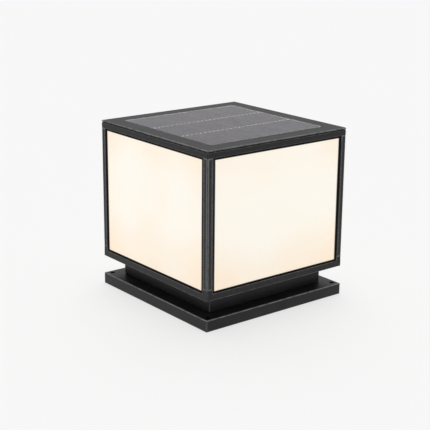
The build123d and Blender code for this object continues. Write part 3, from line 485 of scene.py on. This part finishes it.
def board_mask():
    """Green solder mask with the copper lines showing through it."""
    look = new_finish("board_mask")
    settings = {"feature": "DISTANCE_TO_EDGE", "distance": "CHEBYCHEV"}
    cell = look.node("TexVoronoi", settings, {"Vector": look.place(), "Scale": 190.0, "Randomness": 0.35})
    line = 1.0 - look.ease(cell, 0.05, 0.09)
    weave = look.grain(0.6 * MM, 1.0)
    sockets = {
        "Base Color": look.tint(line, (0.010, 0.085, 0.030), (0.030, 0.20, 0.075)),
        "Roughness": 0.32 + weave * 0.12,
        "Normal": look.relief(line + weave * 0.2, 0.05 * MM, 0.7),
    }
    return look.surface(sockets)


def led_board_mask():
    """White mask on the LED board's aluminium."""
    look = new_finish("led_board_mask")
    cloud = look.grain(10 * MM, 2.0)
    sockets = {
        "Base Color": look.tint(cloud, (0.80, 0.80, 0.77), (0.86, 0.86, 0.84)),
        "Roughness": 0.4 + cloud * 0.15,
        "Normal": look.relief(cloud, 0.03 * MM, 0.4),
    }
    return look.surface(sockets)


def phosphor():
    """The LEDs' yellow phosphor, lit."""
    look = new_finish("phosphor")
    spots = look.grain(0.6 * MM, 2.0)
    sockets = {
        "Base Color": look.tint(spots, (0.82, 0.62, 0.16), (0.90, 0.74, 0.26)),
        "Roughness": 0.3 + spots * 0.2,
        "Emission Color": look.tint(spots, (1.0, 0.72, 0.36), (1.0, 0.84, 0.56)),
        "Emission Strength": 3.0,
    }
    return look.surface(sockets)


def lead_sleeve():
    """Soft PVC sleeve."""
    look = new_finish("lead_sleeve")
    cloud = look.grain(8 * MM, 2.0)
    drawn = look.grain(0.8 * MM, 2.0)
    sockets = {
        "Base Color": look.tint(cloud, grey(0.012), grey(0.03)),
        "Roughness": 0.42 + cloud * 0.15,
        "Normal": look.relief(drawn, 0.04 * MM, 0.4),
    }
    return look.surface(sockets)


def dress(material, *names):
    """Puts a finish on CAD pieces."""
    for name in names:
        for held in nodes[name].material_slots:
            held.material = material


def each_side(name):
    return [name + "_" + side for side in SIDES]


def dress_frame():
    """The black parts, each with its own share of dust, wear and painted edge highlight."""
    tray = powder_coat("coat_on_tray", (3.1, 0.7, 0.0), dusty=0.05, splashed=0.16, wear_and_highlight=1.3, skin=TRAY_SKIN)
    dress(tray, "base_tray")
    # painted highlight along the neck's rolled folds
    neck = powder_coat("coat_on_neck", (0.0, 5.2, 1.0), dusty=0.03, wear_and_highlight=0.15, folds=0.35)
    dress(neck, "neck")
    sill = powder_coat("coat_on_bottom_rails", (7.4, 0.0, 2.0), dusty=0.30, wear_and_highlight=1.1)
    dress(sill, *each_side("bottom_rail"))
    head = powder_coat("coat_on_top_rails", (2.2, 0.0, 6.1), wear_and_highlight=0.8)
    dress(head, *each_side("top_rail"))
    # painted highlight: the posts' outer corners get the lighter coat over a wide strip
    corner = powder_coat("coat_on_posts", (0.0, 9.3, 4.0), wear_and_highlight=1.9, reach=5.2 * MM, arris=POST_ARRIS)
    dress(corner, *[name for name in nodes if name.startswith("corner_post")])
    lid = powder_coat("coat_on_lid", (1.7, 2.9, 0.0), wear_and_highlight=1.2, gloss=0.18)
    dress(lid, "lid_cover")
    seals = each_side("glazing_seal") + ["lid_gasket", "lead_grommet", "housing_seal", "switch_washer"]
    dress(black_rubber(), *seals, "solar_sealant")


def dress_light_parts():
    """The panels, the floor plate, the solar panel and the fasteners."""
    for turn, side in enumerate(SIDES):
        cut_from = (0.0, 0.0, 1.7 * turn)
        warm = LEFT_WARMTH if side == "left" else 0.0
        dress(opal_sheet(side, cut_from, warm), "diffuser_" + side)
    dress(white_paint(), "floor_plate")
    dress(solar_glass(), "solar_glass")
    dress(solar_cell(), "solar_cells")
    dress(tinned_ribbon(), "cell_links", "cell_tabs")
    dress(back_sheet(), "solar_backsheet")
    frame_zinc = ["neck_bolts", "neck_nuts", "post_foot_screws", "post_head_screws"]
    lid_zinc = ["tongue_rivets", "lid_tongues", "lid_studs", "stud_nuts"]
    dress(zinc_plate(), *frame_zinc, *lid_zinc, "housing_screws", "led_cover_screws")
    dress(drawn_aluminium(), "bottom_corner_keys", "top_corner_keys")


def dress_light_engine():
    """What hangs under the lid."""
    dress(opal_dome(), "led_cover")
    housing = moulded_plastic("housing_plastic", (0.74, 0.74, 0.71), (0.82, 0.82, 0.80), 0.42, 0.6 * MM)
    dress(housing, "housing_back", "housing_body")
    black = moulded_plastic("black_plastic", grey(0.012), grey(0.026), 0.38, 0.4 * MM)
    dress(black, "battery_cradle", "board_parts", "switch_body", "switch_nut")
    dress(battery_sleeve(), "battery_cells")
    dress(board_mask(), "controller_board")
    dress(led_board_mask(), "led_board")
    dress(phosphor(), "led_chips")
    red = moulded_plastic("button_red", (0.42, 0.012, 0.010), (0.52, 0.020, 0.016), 0.20, 0.8 * MM)
    dress(red, "switch_button")
    dress(lead_sleeve(), "panel_leads", "inner_leads")


def studio_camera():
    """The photograph's viewpoint, worked out from the lantern's own edges."""
    yaw = math.radians(CAMERA_YAW)
    dip = math.radians(CAMERA_DIP)
    roll = math.radians(CAMERA_ROLL)
    ahead = Vector((math.sin(yaw) * math.cos(dip), math.cos(yaw) * math.cos(dip), -math.sin(dip)))
    level = Vector((math.cos(yaw), -math.sin(yaw), 0.0))
    up = level.cross(ahead)
    right = math.cos(roll) * level + math.sin(roll) * up
    over = math.cos(roll) * up - math.sin(roll) * level
    lens = bpy.data.cameras.new("studio_camera")
    lens.sensor_width = SENSOR_MM
    lens.lens = LENS_MM
    lens.clip_end = 200.0
    turn = Matrix((right, over, -ahead)).transposed().to_4x4()
    camera = bpy.data.objects.new("studio_camera", lens)
    camera.matrix_world = Matrix.Translation(CAMERA_AT) @ turn
    bpy.context.scene.collection.objects.link(camera)
    bpy.context.scene.camera = camera


def seen_directly(look):
    """1 for what the camera sees, itself or in gloss and through glass, and 0 for light on the lantern."""
    path = look.node("LightPath", out="Is Camera Ray")
    return look.smaller(path + path.other("Is Glossy Ray") + path.other("Is Transmission Ray"), 1.0)


def studio_floor():
    """A pale floor that runs out to the horizon and keeps the lantern's soft shadow, with a painted dark
    shade under the tray.
    """
    sheet = bmesh.new()
    bmesh.ops.create_grid(sheet, x_segments=8, y_segments=8, size=PAPER_HALF)
    mesh = bpy.data.meshes.new("studio_floor")
    sheet.to_mesh(mesh)
    sheet.free()
    floor = bpy.data.objects.new("studio_floor", mesh)
    floor.location = (0.0, 0.0, -PAPER_DROP)
    bpy.context.scene.collection.objects.link(floor)
    look = new_finish("studio_paper")
    away = look.larger(abs(look.axis("X")), abs(look.axis("Y")))
    outside = look.past(away, lantern_box[1][0])
    # painted shade: the paper is dark under the tray
    ground = look.tint(outside, grey(UNDER_TRAY_SHADE), grey(PAPER))
    paper = look.node("BsdfDiffuse", sockets={"Color": ground}, out="BSDF")
    glow = look.node("Emission", sockets={"Color": grey(PAPER_GLOW), "Strength": 1.0}, out="Emission")
    share = seen_directly(look) * outside * 0.7
    shader = look.node("MixShader", sockets={0: share, 1: paper, 2: glow}, out="Shader")
    look.node("OutputMaterial", sockets={"Surface": shader})
    mesh.materials.append(look.owner)


def studio_light():
    """One large soft lamp overhead, a little behind the lantern, and an even sky."""
    lamp = bpy.data.lights.new("soft_lamp", "SUN")
    lamp.energy = LAMP_POWER
    lamp.angle = math.radians(LAMP_SPREAD)
    holder = bpy.data.objects.new("soft_lamp", lamp)
    holder.rotation_euler = Vector(LAMP_TOWARDS).to_track_quat("-Z", "Y").to_euler()
    bpy.context.scene.collection.objects.link(holder)
    world = bpy.data.worlds.new("studio_air")
    world.use_nodes = True
    bpy.context.scene.world = world
    look = Recipe(world)
    high = look.node("SeparateXYZ", sockets={0: look.node("TexCoord", out="Generated")}, out="Z")
    stops = [(height, grey(level)) for height, level in WALLS]
    wall = look.node("ValToRGB", {"stops": stops}, {0: high}, out="Color")
    backdrop = look.node("Background", sockets={"Color": wall, "Strength": 1.0})
    air = look.node("Background", sockets={"Color": grey(AIR), "Strength": 1.0})
    shader = look.node("MixShader", sockets={0: seen_directly(look), 1: air, 2: backdrop})
    look.node("OutputWorld", sockets={"Surface": shader})


studio_camera()
studio_floor()
studio_light()
dress_frame()
dress_light_parts()
dress_light_engine()
bpy.context.scene.view_settings.view_transform = "Standard"
